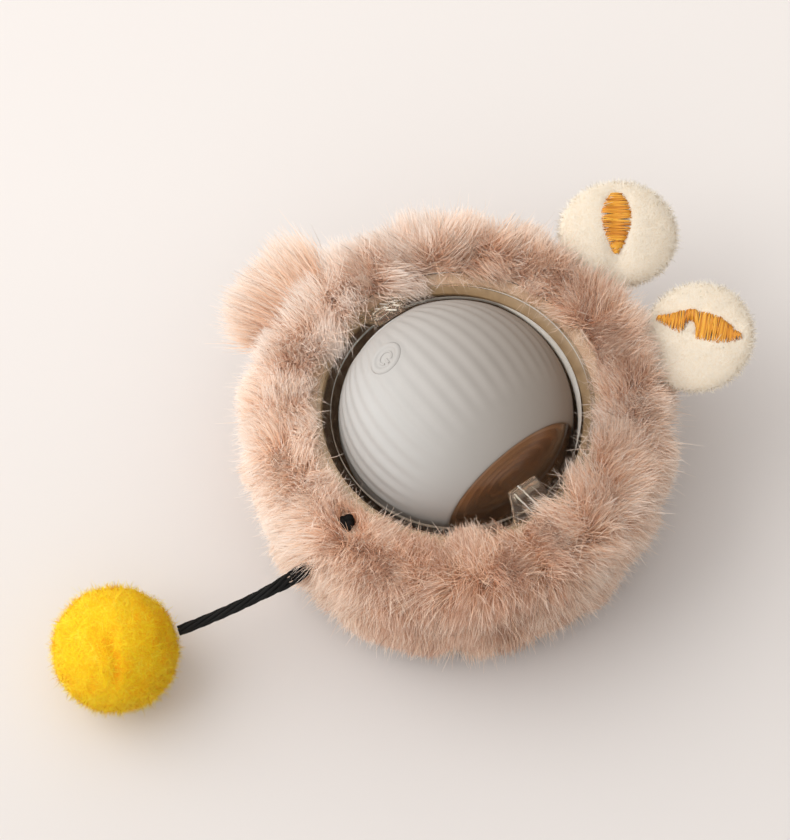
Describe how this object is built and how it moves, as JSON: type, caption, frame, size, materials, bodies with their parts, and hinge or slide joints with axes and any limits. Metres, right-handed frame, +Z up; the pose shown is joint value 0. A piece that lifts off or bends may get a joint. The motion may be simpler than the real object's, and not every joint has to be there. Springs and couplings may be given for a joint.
{
  "type": "self rolling cat ball",
  "caption": "Motorised ribbed ball held by a clear ring in a bowl inside a furry cover with plush ears and a cord tail ending in a pompom.",
  "frame": {"origin": "centre of the flat underside of the fur cover, on the surface it stands on, under the bowl's axis", "axes": "+Z up along the axis of the bowl and ring, +X to the right and +Y away from the viewer in the picture"},
  "size_m": [0.1286, 0.0971, 0.0502],
  "materials": {
    "silicone": "matt moulded silicone with fine ribs",
    "fur": "long dusty pink-brown pile with pale tips",
    "ear_plush": "short cream fleece",
    "embroidery": "satin stitches in golden orange thread",
    "clear_plastic": "clear moulded plastic, polished",
    "smoked_plastic": "smoky brown translucent plastic, polished",
    "black_yarn": "soft black twisted cord",
    "yellow_felt": "felted yellow wool with an orange cleft",
    "shell_plastic": "plain moulded",
    "dark_plastic": "plain moulded",
    "gear_plastic": "natural white, lightly greased",
    "steel": "plain bright",
    "zinc": "die-cast grey",
    "brass": "turned",
    "circuit_green": "solder mask",
    "battery_wrap": "shrink wrap",
    "lead_red": "wire insulation",
    "lead_black": "wire insulation",
    "lamp_epoxy": "cast lamp bodies"
  },
  "bodies": {
    "holder": {"fur_cover": "fur", "left_ear": "ear_plush", "right_ear": "ear_plush", "left_ear_embroidery": "embroidery", "right_ear_embroidery": "embroidery", "clear_bowl": "clear_plastic"},
    "ring": {"retaining_ring": "clear_plastic"},
    "tail": {"cord_knot": "black_yarn", "tail_cord": "black_yarn", "pompom": "yellow_felt"},
    "ball": {"silicone_skin": "silicone", "near_shell": "shell_plastic", "far_shell": "shell_plastic", "window_lens": "smoked_plastic", "port_cap": "silicone", "charging_socket": "steel", "switch_board": "circuit_green", "tact_switch": "dark_plastic", "chassis_plate": "dark_plastic", "main_axle": "steel", "axle_clip": "steel", "idler_pin": "steel", "motor_case": "steel", "motor_end_cap": "dark_plastic", "battery": "battery_wrap", "battery_lead_red": "lead_red", "battery_lead_black": "lead_black", "circuit_board": "circuit_green", "control_chip": "dark_plastic", "lamp_1": "lamp_epoxy", "lamp_2": "lamp_epoxy", "lamp_3": "lamp_epoxy", "lamp_4": "lamp_epoxy", "reflector": "gear_plastic", "charge_board": "circuit_green", "charge_lead": "lead_black", "chassis_screw_1": "steel", "chassis_screw_2": "steel", "chassis_screw_3": "steel", "board_screw_1": "steel", "board_screw_2": "steel", "board_screw_3": "steel", "charge_screw_1": "steel", "charge_screw_2": "steel", "charge_screw_3": "steel"},
    "button": {"power_button": "silicone"},
    "weight": {"swing_weight": "zinc", "weight_gear": "gear_plastic", "weight_bush": "brass"},
    "idler": {"idler_gear": "gear_plastic"},
    "motor": {"motor_shaft": "steel", "motor_pinion": "brass"}
  },
  "joints": [
    {"name": "ring_lift", "type": "slide", "parent": "holder", "child": "ring", "axis": [0, 0, 1], "range_m": [0, 0.02]},
    {"name": "tail_swing", "type": "hinge", "parent": "holder", "child": "tail", "pos_m": [-0.01988, -0.02247, 0.0311], "axis": [0, 0, 1], "range_deg": [-10, 10]},
    {"name": "ball_roll", "type": "hinge", "parent": "holder", "child": "ball", "pos_m": [0, 0, 0.0288], "axis": [0.6334, -0.7738, 0], "continuous": true},
    {"name": "button_press", "type": "slide", "parent": "ball", "child": "button", "axis": [0.6028, -0.2199, -0.767], "range_m": [0, 0.0005], "stiffness_N_per_m": 300},
    {"name": "weight_spin", "type": "hinge", "parent": "ball", "child": "weight", "pos_m": [0, 0, 0.0288], "axis": [0.6334, -0.7738, 0], "continuous": true},
    {"name": "idler_spin", "type": "hinge", "parent": "ball", "child": "idler", "pos_m": [-0.00279, -0.00229, 0.03726], "axis": [0.6334, -0.7738, 0], "continuous": true},
    {"name": "motor_spin", "type": "hinge", "parent": "ball", "child": "motor", "pos_m": [-0.0054, -0.00442, 0.03182], "axis": [0.6334, -0.7738, 0], "continuous": true}
  ],
  "couplings": [
    {"joint": "idler_spin", "follows": "weight_spin", "ratio": -3.6},
    {"joint": "motor_spin", "follows": "weight_spin", "ratio": 10.8}
  ]
}
